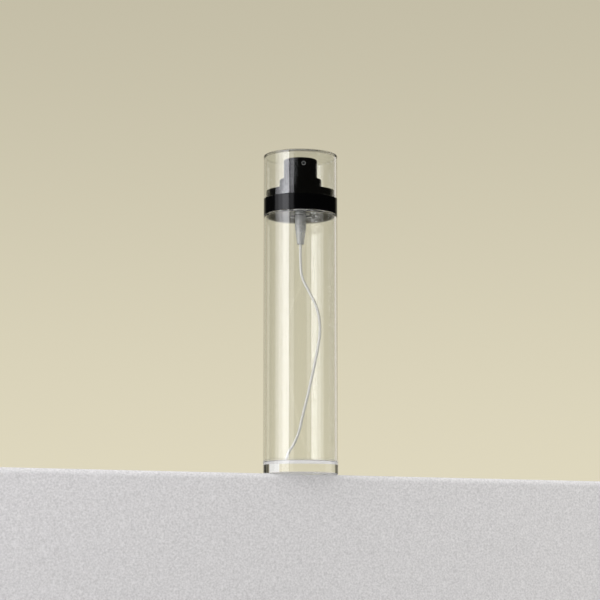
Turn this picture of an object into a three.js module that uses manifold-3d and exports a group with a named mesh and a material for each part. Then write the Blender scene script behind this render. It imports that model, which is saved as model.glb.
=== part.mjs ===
// Slim clear cosmetic bottle with a finger pump, a stepped black collar and a clear overcap.
// Millimetres, +Z up. The bottle stands on z = 0 and its axis is the Z axis.
// The orifice in the button's side faces -Y, which is the front.
import * as THREE from 'three';
import { mergeVertices } from 'three/addons/utils/BufferGeometryUtils.js';
import Module from 'manifold-3d';

const wasm = await Module();
wasm.setup();

// Bottle
const BODY_DIAMETER = 40;
const BODY_WALL = 1.25;
const FOOT_OVERHANG = 0.1;
const FOOT_HEIGHT = 7.6;
const FOOT_EDGE_RADIUS = 0.7;
const BASE_RING_WIDTH = 4.5;
const PUNT_DEPTH = 0.8;
const PUNT_SLOPE_WIDTH = 1.6;
const FLOOR_THICKNESS = 6.5;
const FLOOR_CORNER_RADIUS = 0.5;
const BOTTLE_HEIGHT = 140.6;
const SHOULDER_THICKNESS = 0.8;
const SHOULDER_EDGE_RADIUS = 0.3;
const SHOULDER_CORNER_RADIUS = 0.4;

// Neck and its thread
const NECK_BORE_DIAMETER = 11.2;
const NECK_WALL = 2.2;
const NECK_HEIGHT = 8.2;
const NECK_ROOT_RADIUS = 0.3;
const NECK_LIP_CHAMFER = 0.3;
const THREAD_PITCH = 3.175;
const THREAD_HEIGHT = 1.2;
const THREAD_TURNS = 1.4;
const THREAD_START = 1.8;
const NECK_RIDGE_SHARE = 0.28;

// Screw closure with the guide sleeve
const CLOSURE_WALL = 1.7;
const CLOSURE_RIDGE_HEIGHT = 0.95;
const CLOSURE_RIDGE_TURNS = 1.1;
const CLOSURE_RIDGE_SHARE = 0.25;
const DECK_THICKNESS = 1.2;
const SLEEVE_WALL = 2;
const SLEEVE_RISE = 8.1;
const SLEEVE_EDGE_RADIUS = 0.5;
const RIB_COUNT = 8;
const RIB_THICKNESS = 1.4;
const RIB_HEIGHT = 6;

// Collar shell
const BAND_HEIGHT = 8.7;
const BAND_WALL = 1.6;
const BAND_EDGE_CHAMFER = 0.1;
const RING_WALL = 1.5;
const RING_EDGE_RADIUS = 0.5;
const PLATE_THICKNESS = 1.45;

// Overcap
const CAP_WALL = 1.15;
const CAP_TOP_THICKNESS = 1.2;
const CAP_EDGE_RADIUS = 0.4;
const CAP_CORNER_RADIUS = 0.3;
const CAP_HEADROOM = 1.1;

// Actuator and nozzle
const ACTUATOR_DIAMETER = 18.2;
const ACTUATOR_RISE = 11.1;
const ACTUATOR_WALL = 1.4;
const ACTUATOR_EDGE_RADIUS = 0.8;
const DISH_DEPTH = 0.6;
const DISH_RIM = 0.9;
const BOSS_WALL = 1.3;
const SOCKET_DEPTH = 6.4;
const FEED_DIAMETER = 1;
const NOZZLE_DROP = 3.3;
const NOZZLE_DIAMETER = 2.2;
const NOZZLE_LENGTH = 2.3;
const NOZZLE_FACE_DEPTH = 0.2;
const NOZZLE_MOUTH_DIAMETER = 1.5;
const NOZZLE_MOUTH_DEPTH = 0.9;
const ORIFICE_DIAMETER = 0.5;
const ORIFICE_LENGTH = 0.4;
const NOZZLE_POST_DIAMETER = 1.5;

// Pump
const STROKE = 4;
const GASKET_THICKNESS = 0.8;
const GASKET_BORE_DIAMETER = 11;
const FLANGE_THICKNESS = 1;
const BARREL_DIAMETER = 9.4;
const BARREL_BORE_DIAMETER = 7.4;
const TAIL_DIAMETER = 6.1;
const TAIL_BORE_DIAMETER = 4.8;
const TAIL_TIP_DIAMETER = 3.7;
const TAIL_TAPER_LENGTH = 9.6;
const BARREL_CONE_HEIGHT = 1;
const GLAND_FLANGE_DIAMETER = 10.8;
const GLAND_FLANGE_THICKNESS = 1;
const GLAND_PLUG_LENGTH = 1.6;
const STEM_DIAMETER = 3.4;
const STEM_BORE_DIAMETER = 1.7;
const STEM_SHOULDER_DIAMETER = 5;
const STEM_SHOULDER_HEIGHT = 0.8;
const STEM_FOOT_LENGTH = 1.4;
const PISTON_LENGTH = 2.4;
const PISTON_LIP_HEIGHT = 0.8;
const PISTON_WAIST_DEPTH = 0.5;
const ROD_HEAD_DIAMETER = 4.2;
const ROD_HEAD_HEIGHT = 1.2;
const ROD_PIN_DIAMETER = 1.3;
const ROD_PIN_LENGTH = 6;
const ROD_SPIGOT_DIAMETER = 2;
const ROD_SPIGOT_LENGTH = 1.5;
const SPRING_LENGTH = 9.5;
const SPRING_DIAMETER = 4;
const SPRING_WIRE = 0.5;
const SPRING_TURNS = 7;
const BALL_DIAMETER = 2.4;
const BALL_LIFT = 1.2;
const BALL_CAGE_GAP = 0.4;
const BALL_LIP_DEPTH = 0.15;
const BALL_LIP_HEIGHT = 0.5;
const INLET_DIAMETER = 1.2;
const INLET_LENGTH = 3.15;
const TUBE_SOCKET_DEPTH = 3.4;

// Dip tube: shares of its drop and sideways set, in a plane turned from the X axis.
const TUBE_DIAMETER = 1.5;
const TUBE_BORE_DIAMETER = 0.9;
const TUBE_FLOOR_GAP = 1.3;
const TUBE_PLANE_DEG = -11;
const TUBE_SET = [
  [0, 0],
  [0.03, 0],
  [0.1, 0],
  [0.176, 0.9],
  [0.244, 4.7],
  [0.315, 8.7],
  [0.385, 10.3],
  [0.427, 10.4],
  [0.477, 9.7],
  [0.541, 8.3],
  [0.636, 5.9],
  [0.732, 3.2],
  [0.814, 0.8],
  [0.873, -0.9],
  [0.931, -3.8],
  [0.962, -6.2],
  [1, -7.8],
];

// Clearances
const SEAT_GAP = 0.1;
const COLLAR_GAP = 0.1;
const CLOSURE_GAP = 0.4;
const THREAD_GAP = 0.3;
const SHELL_GAP = 0.2;
const CAP_GAP = 0.2;
const CAP_SEAT_GAP = 0.05;
const ACTUATOR_GAP = 0.3;
const STROKE_GAP = 0.6;
const STEM_GAP = 0.15;
const SOCKET_GAP = 0.1;
const PISTON_GAP = 0.1;
const STOP_GAP = 0.2;
const BALL_GAP = 0.05;
const TUBE_GAP = 0.1;
const NOZZLE_GAP = 0.1;

// How finely the round pieces are faceted
const BODY_SEGMENTS = 40;
const BUTTON_SEGMENTS = 32;
const PUMP_SEGMENTS = 20;
const NOZZLE_SEGMENTS = 14;
const RIDGE_SIDES = 6;
const RIDGE_STEPS_PER_TURN = 20;
const SPRING_SIDES = 5;
const SPRING_STEPS_PER_TURN = 12;
const TUBE_SIDES = 8;
const TUBE_STEPS = 34;

// Radii that the sizes above give
const bodyRadius = BODY_DIAMETER / 2;
const innerRadius = bodyRadius - BODY_WALL;
const footRadius = bodyRadius + FOOT_OVERHANG;
const neckBore = NECK_BORE_DIAMETER / 2;
const neckRadius = neckBore + NECK_WALL;
const closureBore = neckRadius + THREAD_HEIGHT + THREAD_GAP;
const closureRadius = closureBore + CLOSURE_WALL;
const actuatorRadius = ACTUATOR_DIAMETER / 2;
const sleeveBore = actuatorRadius + ACTUATOR_GAP;
const sleeveRadius = sleeveBore + SLEEVE_WALL;
const capRadius = bodyRadius;
const capBore = capRadius - CAP_WALL;
const ringRadius = capBore - CAP_GAP;
const ringBore = ringRadius - RING_WALL;
const bandRadius = bodyRadius;
const bandBore = bandRadius - BAND_WALL;
const ribRadius = ringBore - SHELL_GAP;
const plateBore = sleeveRadius + SHELL_GAP;
const flangeRadius = neckRadius - SEAT_GAP;
const glandRadius = GLAND_FLANGE_DIAMETER / 2;
const deckBore = glandRadius + THREAD_GAP;
const barrelBore = BARREL_BORE_DIAMETER / 2;
const tailRadius = TAIL_DIAMETER / 2;
const tailBore = TAIL_BORE_DIAMETER / 2;
const stemRadius = STEM_DIAMETER / 2;
const stemBore = STEM_BORE_DIAMETER / 2;
const pistonRadius = barrelBore - PISTON_GAP;
const ballRadius = BALL_DIAMETER / 2;
const cageRadius = ballRadius + BALL_CAGE_GAP;
const inletRadius = INLET_DIAMETER / 2;
const tubeRadius = TUBE_DIAMETER / 2;
const nozzleRadius = NOZZLE_DIAMETER / 2;
const pocketRadius = nozzleRadius + NOZZLE_GAP;

// Heights, from the base upward
const shoulderBottom = BOTTLE_HEIGHT - SHOULDER_THICKNESS;
const neckTop = BOTTLE_HEIGHT + NECK_HEIGHT;
const gasketBottom = neckTop + SEAT_GAP;
const flangeBottom = gasketBottom + GASKET_THICKNESS + SEAT_GAP;
const flangeTop = flangeBottom + FLANGE_THICKNESS;
const deckBottom = flangeTop + SEAT_GAP;
const deckTop = deckBottom + DECK_THICKNESS;
const closureBottom = BOTTLE_HEIGHT + CLOSURE_GAP;
const collarBottom = BOTTLE_HEIGHT + COLLAR_GAP;
const bandTop = collarBottom + BAND_HEIGHT;
const plateBottom = deckTop + SHELL_GAP;
const ringTop = plateBottom + PLATE_THICKNESS;
const sleeveTop = deckTop + SLEEVE_RISE;
const actuatorTop = sleeveTop + ACTUATOR_RISE;
const capBottom = bandTop + CAP_SEAT_GAP;
const capCeiling = actuatorTop + CAP_HEADROOM;
const capTop = capCeiling + CAP_TOP_THICKNESS;
const threadStart = BOTTLE_HEIGHT + THREAD_START;

// Heights in the pump, from the gland downward
const glandBottom = deckBottom - GLAND_PLUG_LENGTH;
const glandTop = deckBottom + GLAND_FLANGE_THICKNESS;
const stemShoulderTop = glandBottom - STOP_GAP;
const stemShoulderBottom = stemShoulderTop - STEM_SHOULDER_HEIGHT;
const pistonTop = stemShoulderBottom - STOP_GAP;
const pistonBottom = pistonTop - PISTON_LENGTH;
const stemBottom = pistonTop - STEM_FOOT_LENGTH;
const rodHeadTop = pistonBottom - SEAT_GAP;
const rodHeadBottom = rodHeadTop - ROD_HEAD_HEIGHT;
const springBottom = rodHeadBottom - SPRING_LENGTH;
const barrelBottom = pistonBottom - STROKE - STOP_GAP;
const lipRadius = ballRadius - BALL_LIP_DEPTH;
const lipRise = Math.sqrt(ballRadius ** 2 - lipRadius ** 2);
const lipBottom = springBottom - BALL_LIP_HEIGHT;
const ballCentre = lipBottom - lipRise - SEAT_GAP - BALL_LIFT;
const seatApex = ballCentre - (ballRadius + BALL_GAP) * Math.SQRT2;
const seatTop = seatApex + cageRadius;
const seatBottom = seatApex + inletRadius;
const socketTop = seatBottom - INLET_LENGTH;
const tailTip = socketTop - TUBE_SOCKET_DEPTH;
const tubeTop = socketTop - SEAT_GAP;
const tubeEnd = FLOOR_THICKNESS + TUBE_FLOOR_GAP;

// Heights in the actuator
const lowestPressed = Math.max(glandTop, deckTop) + STROKE_GAP;
const skirtBottom = lowestPressed + STROKE;
const nozzleHeight = actuatorTop - NOZZLE_DROP;
const cavityTop = nozzleHeight - pocketRadius - ACTUATOR_WALL;
const socketCeiling = skirtBottom + SOCKET_DEPTH;
const feedTop = nozzleHeight + stemBore;

// Points of a quarter or other arc in the (radius, height) half plane
function arc(r, z, radius, startDeg, endDeg, steps = 4) {
  const points = [];
  for (let i = 0; i <= steps; i += 1) {
    const a = THREE.MathUtils.degToRad(startDeg + ((endDeg - startDeg) * i) / steps);
    points.push([r + radius * Math.cos(a), z + radius * Math.sin(a)]);
  }
  return points;
}

// Keeps only positions, joins equal corners and drops faces that have no area
function cleaned(geometry) {
  geometry.deleteAttribute('normal');
  geometry.deleteAttribute('uv');
  const merged = mergeVertices(geometry, 1e-5);
  const kept = [];
  for (let i = 0; i < merged.index.count; i += 3) {
    const a = merged.index.getX(i);
    const b = merged.index.getX(i + 1);
    const c = merged.index.getX(i + 2);
    if (a !== b && b !== c && c !== a) {
      kept.push(a, b, c);
    }
  }
  merged.setIndex(kept);
  return merged;
}

// A solid of revolution about Z. A profile off the axis closes on itself.
function turned(profile, segments) {
  const points = profile.map(([r, z]) => new THREE.Vector2(r, z));
  const onAxis = profile[0][0] === 0 && profile[profile.length - 1][0] === 0;
  if (!onAxis) {
    points.push(points[0].clone());
  }
  const geometry = new THREE.LatheGeometry(points, segments);
  geometry.rotateX(Math.PI / 2);
  return cleaned(geometry);
}

// A round section of the given number of sides
function roundShape(radius, sides) {
  const points = [];
  for (let i = 0; i < sides; i += 1) {
    const a = (2 * Math.PI * i) / sides;
    points.push(new THREE.Vector2(radius * Math.cos(a), radius * Math.sin(a)));
  }
  return new THREE.Shape(points);
}

class Helix extends THREE.Curve {
  constructor(radius, bottom, pitch, turns, startAngle = 0) {
    super();
    this.radius = radius;
    this.bottom = bottom;
    this.pitch = pitch;
    this.turns = turns;
    this.startAngle = startAngle;
  }

  getPoint(t, target = new THREE.Vector3()) {
    const a = this.startAngle + 2 * Math.PI * this.turns * t;
    const z = this.bottom + this.pitch * this.turns * t;
    return target.set(this.radius * Math.cos(a), this.radius * Math.sin(a), z);
  }
}

function swept(shape, path, steps) {
  return cleaned(new THREE.ExtrudeGeometry(shape, { steps, bevelEnabled: false, extrudePath: path }));
}

function solidOf(geometry) {
  const vertProperties = new Float32Array(geometry.attributes.position.array);
  const triVerts = new Uint32Array(geometry.index.array);
  return new wasm.Manifold(new wasm.Mesh({ numProp: 3, vertProperties, triVerts }));
}

function geometryOf(solid) {
  const mesh = solid.getMesh();
  const geometry = new THREE.BufferGeometry();
  const position = new THREE.BufferAttribute(new Float32Array(mesh.vertProperties), 3);
  geometry.setAttribute('position', position);
  geometry.setIndex(Array.from(mesh.triVerts));
  return geometry;
}

function joined(first, ...others) {
  return geometryOf(others.reduce((solid, other) => solid.add(solidOf(other)), solidOf(first)));
}

function cut(first, ...others) {
  return geometryOf(others.reduce((solid, other) => solid.subtract(solidOf(other)), solidOf(first)));
}

function plastic(colour, roughness, opacity = 1) {
  return new THREE.MeshStandardMaterial({
    color: colour,
    roughness,
    metalness: 0,
    transparent: opacity < 1,
    opacity,
  });
}

const clearPlastic = plastic(0xf2f4ee, 0.05, 0.25);
const blackPlastic = plastic(0x060607, 0.18);
const darkPlastic = plastic(0x2a2a2c, 0.3);
const milkyPlastic = plastic(0xe4e4e0, 0.35, 0.6);
const whitePlastic = plastic(0xeeeeea, 0.4);
const foam = plastic(0x141415, 0.8);
const steel = new THREE.MeshStandardMaterial({ color: 0xb9bcc0, roughness: 0.25, metalness: 1 });

const product = new THREE.Group();
const pump = new THREE.Group();
product.add(pump);

function place(group, name, geometry, material) {
  const mesh = new THREE.Mesh(geometry, material);
  mesh.name = name;
  group.add(mesh);
  return mesh;
}

// Bottle: one clear moulding with a heavy solid base, a flat shoulder and a short threaded neck
const baseRingInner = footRadius - FOOT_EDGE_RADIUS - BASE_RING_WIDTH;
const bottleBlank = turned(
  [
    [0, PUNT_DEPTH],
    [baseRingInner - PUNT_SLOPE_WIDTH, PUNT_DEPTH],
    [baseRingInner, 0],
    ...arc(footRadius - FOOT_EDGE_RADIUS, FOOT_EDGE_RADIUS, FOOT_EDGE_RADIUS, -90, 0, 3),
    [footRadius, FOOT_HEIGHT - FOOT_OVERHANG],
    [bodyRadius, FOOT_HEIGHT],
    ...arc(
      bodyRadius - SHOULDER_EDGE_RADIUS,
      BOTTLE_HEIGHT - SHOULDER_EDGE_RADIUS,
      SHOULDER_EDGE_RADIUS,
      0,
      90,
      3,
    ),
    ...arc(neckRadius + NECK_ROOT_RADIUS, BOTTLE_HEIGHT + NECK_ROOT_RADIUS, NECK_ROOT_RADIUS, 270, 180, 2),
    [neckRadius, neckTop - NECK_LIP_CHAMFER],
    [neckRadius - NECK_LIP_CHAMFER, neckTop],
    [neckBore + NECK_LIP_CHAMFER, neckTop],
    [neckBore, neckTop - NECK_LIP_CHAMFER],
    ...arc(neckBore + NECK_ROOT_RADIUS, shoulderBottom + NECK_ROOT_RADIUS, NECK_ROOT_RADIUS, 180, 270, 2),
    ...arc(
      innerRadius - SHOULDER_CORNER_RADIUS,
      shoulderBottom - SHOULDER_CORNER_RADIUS,
      SHOULDER_CORNER_RADIUS,
      90,
      0,
      3,
    ),
    ...arc(
      innerRadius - FLOOR_CORNER_RADIUS,
      FLOOR_THICKNESS + FLOOR_CORNER_RADIUS,
      FLOOR_CORNER_RADIUS,
      0,
      -90,
      4,
    ),
    [0, FLOOR_THICKNESS],
  ],
  BODY_SEGMENTS,
);
const neckRidge = NECK_RIDGE_SHARE * THREAD_PITCH;
const neckThread = swept(
  roundShape(neckRidge, RIDGE_SIDES),
  new Helix(neckRadius + THREAD_HEIGHT - neckRidge, threadStart, THREAD_PITCH, THREAD_TURNS),
  Math.round(RIDGE_STEPS_PER_TURN * THREAD_TURNS),
);
place(product, 'bottle', joined(bottleBlank, neckThread), clearPlastic);

// Overcap: a clear cup that slides over the collar's ring and rests on its band
place(
  product,
  'overcap',
  turned(
    [
      [0, capCeiling],
      ...arc(capBore - CAP_CORNER_RADIUS, capCeiling - CAP_CORNER_RADIUS, CAP_CORNER_RADIUS, 90, 0, 3),
      [capBore, capBottom],
      [capRadius, capBottom],
      ...arc(capRadius - CAP_EDGE_RADIUS, capTop - CAP_EDGE_RADIUS, CAP_EDGE_RADIUS, 0, 90, 4),
      [0, capTop],
    ],
    BODY_SEGMENTS,
  ),
  clearPlastic,
);

// Collar shell: the wide band under the cap, the ring inside it and the plate round the sleeve
place(
  pump,
  'collar_shell',
  turned(
    [
      [bandBore, collarBottom],
      [bandRadius - BAND_EDGE_CHAMFER, collarBottom],
      [bandRadius, collarBottom + BAND_EDGE_CHAMFER],
      [bandRadius, bandTop - BAND_EDGE_CHAMFER],
      [bandRadius - BAND_EDGE_CHAMFER, bandTop],
      [ringRadius, bandTop],
      ...arc(ringRadius - RING_EDGE_RADIUS, ringTop - RING_EDGE_RADIUS, RING_EDGE_RADIUS, 0, 90, 3),
      [plateBore, ringTop],
      [plateBore, plateBottom],
      [ringBore, plateBottom],
      [ringBore, bandTop - BAND_WALL],
      [bandBore, bandTop - BAND_WALL],
    ],
    BODY_SEGMENTS,
  ),
  blackPlastic,
);

// Screw closure: threaded skirt, deck that clamps the pump's flange, and the button's guide sleeve
const closureBlank = turned(
  [
    [deckBore, deckBottom],
    [closureBore, deckBottom],
    [closureBore, closureBottom],
    [closureRadius, closureBottom],
    [closureRadius, deckTop],
    [sleeveRadius, deckTop],
    ...arc(sleeveRadius - SLEEVE_EDGE_RADIUS, sleeveTop - SLEEVE_EDGE_RADIUS, SLEEVE_EDGE_RADIUS, 0, 90, 3),
    ...arc(sleeveBore + SLEEVE_EDGE_RADIUS, sleeveTop - SLEEVE_EDGE_RADIUS, SLEEVE_EDGE_RADIUS, 90, 180, 2),
    [sleeveBore, deckTop],
    [deckBore, deckTop],
  ],
  BUTTON_SEGMENTS,
);
const closureRidge = CLOSURE_RIDGE_SHARE * THREAD_PITCH;
const closureThread = swept(
  roundShape(closureRidge, RIDGE_SIDES),
  new Helix(
    closureBore - CLOSURE_RIDGE_HEIGHT + closureRidge,
    threadStart,
    THREAD_PITCH,
    CLOSURE_RIDGE_TURNS,
    Math.PI,
  ),
  Math.round(RIDGE_STEPS_PER_TURN * CLOSURE_RIDGE_TURNS),
);
const ribInner = closureRadius - CLOSURE_WALL / 2;
const ribs = [];
for (let i = 0; i < RIB_COUNT; i += 1) {
  const rib = new THREE.BoxGeometry(ribRadius - ribInner, RIB_THICKNESS, RIB_HEIGHT);
  rib.translate((ribRadius + ribInner) / 2, 0, deckTop - RIB_HEIGHT / 2);
  rib.rotateZ((2 * Math.PI * (i + 0.5)) / RIB_COUNT);
  ribs.push(cleaned(rib));
}
place(pump, 'screw_closure', joined(closureBlank, closureThread, ...ribs), blackPlastic);

// Neck gasket: the soft washer between the neck's lip and the pump's flange
place(
  pump,
  'neck_gasket',
  turned(
    [
      [GASKET_BORE_DIAMETER / 2, gasketBottom],
      [flangeRadius, gasketBottom],
      [flangeRadius, gasketBottom + GASKET_THICKNESS],
      [GASKET_BORE_DIAMETER / 2, gasketBottom + GASKET_THICKNESS],
    ],
    BUTTON_SEGMENTS,
  ),
  foam,
);

// Pump housing: flange, barrel, straight tail with the spring, ball cage and tapered tube socket
const tipRadius = TAIL_TIP_DIAMETER / 2;
const tubeSocketRadius = tubeRadius + TUBE_GAP;
place(
  pump,
  'pump_housing',
  turned(
    [
      [tubeSocketRadius, tailTip],
      [tipRadius, tailTip],
      [tailRadius, tailTip + TAIL_TAPER_LENGTH],
      [tailRadius, barrelBottom - BARREL_CONE_HEIGHT],
      [BARREL_DIAMETER / 2, barrelBottom],
      [BARREL_DIAMETER / 2, flangeBottom],
      [flangeRadius, flangeBottom],
      [flangeRadius, flangeTop],
      [barrelBore, flangeTop],
      [barrelBore, barrelBottom],
      [tailBore, barrelBottom],
      [tailBore, springBottom],
      [lipRadius, springBottom],
      [lipRadius, lipBottom],
      [cageRadius, lipBottom],
      [cageRadius, seatTop],
      [inletRadius, seatBottom],
      [inletRadius, socketTop],
      [tubeSocketRadius, socketTop],
    ],
    PUMP_SEGMENTS,
  ),
  milkyPlastic,
);

// Housing gland: plugs the barrel's mouth, guides the stem and stops its upward travel
place(
  pump,
  'housing_gland',
  turned(
    [
      [stemRadius + STEM_GAP, glandBottom],
      [barrelBore - SEAT_GAP, glandBottom],
      [barrelBore - SEAT_GAP, deckBottom],
      [glandRadius, deckBottom],
      [glandRadius, glandTop],
      [stemRadius + STEM_GAP, glandTop],
    ],
    PUMP_SEGMENTS,
  ),
  whitePlastic,
);

// Pump stem: hollow, with the shoulder that pushes the piston and meets the gland
const stemTop = socketCeiling - SOCKET_GAP;
place(
  pump,
  'pump_stem',
  turned(
    [
      [stemBore, stemBottom],
      [stemRadius, stemBottom],
      [stemRadius, stemShoulderBottom],
      [STEM_SHOULDER_DIAMETER / 2, stemShoulderBottom],
      [STEM_SHOULDER_DIAMETER / 2, stemShoulderTop],
      [stemRadius, stemShoulderTop],
      [stemRadius, stemTop],
      [stemBore, stemTop],
    ],
    PUMP_SEGMENTS,
  ),
  whitePlastic,
);

// Piston: two lips that wipe the barrel, held between the stem's shoulder and the rod's head
place(
  pump,
  'piston',
  turned(
    [
      [stemRadius + SOCKET_GAP, pistonBottom],
      [pistonRadius, pistonBottom],
      [pistonRadius, pistonBottom + PISTON_LIP_HEIGHT],
      [pistonRadius - PISTON_WAIST_DEPTH, pistonBottom + PISTON_LIP_HEIGHT],
      [pistonRadius - PISTON_WAIST_DEPTH, pistonTop - PISTON_LIP_HEIGHT],
      [pistonRadius, pistonTop - PISTON_LIP_HEIGHT],
      [pistonRadius, pistonTop],
      [stemRadius + SOCKET_GAP, pistonTop],
    ],
    PUMP_SEGMENTS,
  ),
  milkyPlastic,
);

// Piston rod: pin inside the stem, head under the piston and the spigot that centres the spring
place(
  pump,
  'piston_rod',
  turned(
    [
      [0, rodHeadBottom - ROD_SPIGOT_LENGTH],
      [ROD_SPIGOT_DIAMETER / 2, rodHeadBottom - ROD_SPIGOT_LENGTH],
      [ROD_SPIGOT_DIAMETER / 2, rodHeadBottom],
      [ROD_HEAD_DIAMETER / 2, rodHeadBottom],
      [ROD_HEAD_DIAMETER / 2, rodHeadTop],
      [ROD_PIN_DIAMETER / 2, rodHeadTop],
      [ROD_PIN_DIAMETER / 2, rodHeadTop + ROD_PIN_LENGTH],
      [0, rodHeadTop + ROD_PIN_LENGTH],
    ],
    PUMP_SEGMENTS,
  ),
  whitePlastic,
);

// Return spring between the ledge in the tail and the rod's head
const springSpan = SPRING_LENGTH - SPRING_WIRE - 2 * SEAT_GAP;
place(
  pump,
  'return_spring',
  swept(
    roundShape(SPRING_WIRE / 2, SPRING_SIDES),
    new Helix(
      (SPRING_DIAMETER - SPRING_WIRE) / 2,
      springBottom + SEAT_GAP + SPRING_WIRE / 2,
      springSpan / SPRING_TURNS,
      SPRING_TURNS,
    ),
    SPRING_STEPS_PER_TURN * SPRING_TURNS,
  ),
  steel,
);

// Inlet ball: loose in its cage, resting on the cone over the inlet
const ball = cleaned(new THREE.SphereGeometry(ballRadius, NOZZLE_SEGMENTS, NOZZLE_SEGMENTS / 2));
ball.translate(0, 0, ballCentre);
place(pump, 'inlet_ball', ball, steel);

// Dip tube: thin tube pushed into the tail, holding the bend it was coiled with
const tubeDrop = tubeTop - tubeEnd;
const tubePath = new THREE.CatmullRomCurve3(
  TUBE_SET.map(([share, sideways]) => new THREE.Vector3(sideways, 0, tubeTop - share * tubeDrop)),
);
const tubeSection = roundShape(tubeRadius, TUBE_SIDES);
tubeSection.holes.push(roundShape(TUBE_BORE_DIAMETER / 2, TUBE_SIDES));
const tube = place(pump, 'dip_tube', swept(tubeSection, tubePath, TUBE_STEPS), milkyPlastic);
tube.rotation.z = THREE.MathUtils.degToRad(TUBE_PLANE_DEG);

// Actuator: the finger button with its stem socket, flow channel and nozzle pocket
const button = new THREE.Group();
pump.add(button);
const socketRadius = stemRadius + SOCKET_GAP;
const bossRadius = socketRadius + BOSS_WALL;
const dishRadius = actuatorRadius - ACTUATOR_EDGE_RADIUS - DISH_RIM;
const dishSphere = (dishRadius ** 2 + DISH_DEPTH ** 2) / (2 * DISH_DEPTH);
const dishCentre = actuatorTop - DISH_DEPTH + dishSphere;
const dishRimDeg = -THREE.MathUtils.radToDeg(Math.acos(dishRadius / dishSphere));
const actuatorBlank = turned(
  [
    [0, feedTop],
    [stemBore, feedTop],
    [stemBore, socketCeiling],
    [socketRadius, socketCeiling],
    [socketRadius, skirtBottom],
    [bossRadius, skirtBottom],
    [bossRadius, cavityTop],
    [actuatorRadius - ACTUATOR_WALL, cavityTop],
    [actuatorRadius - ACTUATOR_WALL, skirtBottom],
    [actuatorRadius, skirtBottom],
    ...arc(
      actuatorRadius - ACTUATOR_EDGE_RADIUS,
      actuatorTop - ACTUATOR_EDGE_RADIUS,
      ACTUATOR_EDGE_RADIUS,
      0,
      90,
      4,
    ),
    ...arc(0, dishCentre, dishSphere, dishRimDeg, -90, 3).slice(0, -1),
    [0, actuatorTop - DISH_DEPTH],
  ],
  BUTTON_SEGMENTS,
);
const pocketDepth = NOZZLE_FACE_DEPTH + NOZZLE_LENGTH + NOZZLE_GAP;
const pocketBack = actuatorRadius - pocketDepth;
const pocketReach = actuatorRadius + pocketRadius;
const pocket = new THREE.CylinderGeometry(
  pocketRadius,
  pocketRadius,
  pocketReach - pocketBack,
  NOZZLE_SEGMENTS,
);
pocket.translate(0, -(pocketReach + pocketBack) / 2, nozzleHeight);
const feedReach = pocketBack + NOZZLE_GAP;
const feed = new THREE.CylinderGeometry(
  FEED_DIAMETER / 2,
  FEED_DIAMETER / 2,
  feedReach,
  NOZZLE_SEGMENTS,
);
feed.translate(0, -feedReach / 2, nozzleHeight);
place(button, 'actuator', cut(actuatorBlank, cleaned(pocket), cleaned(feed)), blackPlastic);

// Nozzle insert: the orifice cup pressed into the pocket, its mouth facing -Y
const nozzle = turned(
  [
    [NOZZLE_MOUTH_DIAMETER / 2, 0],
    [NOZZLE_MOUTH_DIAMETER / 2, -NOZZLE_MOUTH_DEPTH],
    [ORIFICE_DIAMETER / 2, -NOZZLE_MOUTH_DEPTH],
    [ORIFICE_DIAMETER / 2, -NOZZLE_MOUTH_DEPTH - ORIFICE_LENGTH],
    [NOZZLE_POST_DIAMETER / 2, -NOZZLE_MOUTH_DEPTH - ORIFICE_LENGTH],
    [NOZZLE_POST_DIAMETER / 2, -NOZZLE_LENGTH],
    [nozzleRadius, -NOZZLE_LENGTH],
    [nozzleRadius, 0],
  ],
  NOZZLE_SEGMENTS,
);
const nozzleMesh = place(button, 'nozzle_insert', nozzle, darkPlastic);
nozzleMesh.rotation.x = Math.PI / 2;
nozzleMesh.position.set(0, -(actuatorRadius - NOZZLE_FACE_DEPTH), nozzleHeight);

export default product;
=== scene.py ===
import math

import bmesh
import bpy
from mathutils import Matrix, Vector


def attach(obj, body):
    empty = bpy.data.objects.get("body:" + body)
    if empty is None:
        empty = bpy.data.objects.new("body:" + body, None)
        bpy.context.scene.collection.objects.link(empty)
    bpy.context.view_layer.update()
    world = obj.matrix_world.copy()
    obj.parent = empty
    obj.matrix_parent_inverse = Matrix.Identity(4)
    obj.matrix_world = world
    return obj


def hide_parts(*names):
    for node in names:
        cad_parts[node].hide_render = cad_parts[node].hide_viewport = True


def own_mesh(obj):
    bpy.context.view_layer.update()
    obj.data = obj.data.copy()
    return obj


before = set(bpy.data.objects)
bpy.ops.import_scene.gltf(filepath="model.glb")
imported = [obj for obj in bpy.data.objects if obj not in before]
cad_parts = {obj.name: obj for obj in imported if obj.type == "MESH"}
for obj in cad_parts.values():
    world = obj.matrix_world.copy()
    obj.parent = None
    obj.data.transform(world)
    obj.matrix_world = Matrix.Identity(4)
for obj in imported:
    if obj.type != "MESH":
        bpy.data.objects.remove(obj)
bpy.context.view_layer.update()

scene = bpy.context.scene

# Bottle. One clear moulding with a heavy solid base, a straight even wall, a flat
# shoulder and a short neck with a raised screw thread. It is injection blown and
# polished, stands on the flat ring round its shallow punt and carries the pump.
MM = 0.001
FULL_TURN = 2 * math.pi
SMOOTH_ANGLE = math.radians(32)
CORNER_STEPS = 6
HOLD_SHARE = 0.4
HOLD_LEAST = 0.04
PICK_REACH = 0.002 * MM
MERGE_GAP = 0.0004 * MM


def held(edge):
    """How far from a rounded corner the points stand that hold its shading."""
    return edge * (1 + HOLD_SHARE) + HOLD_LEAST


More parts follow.
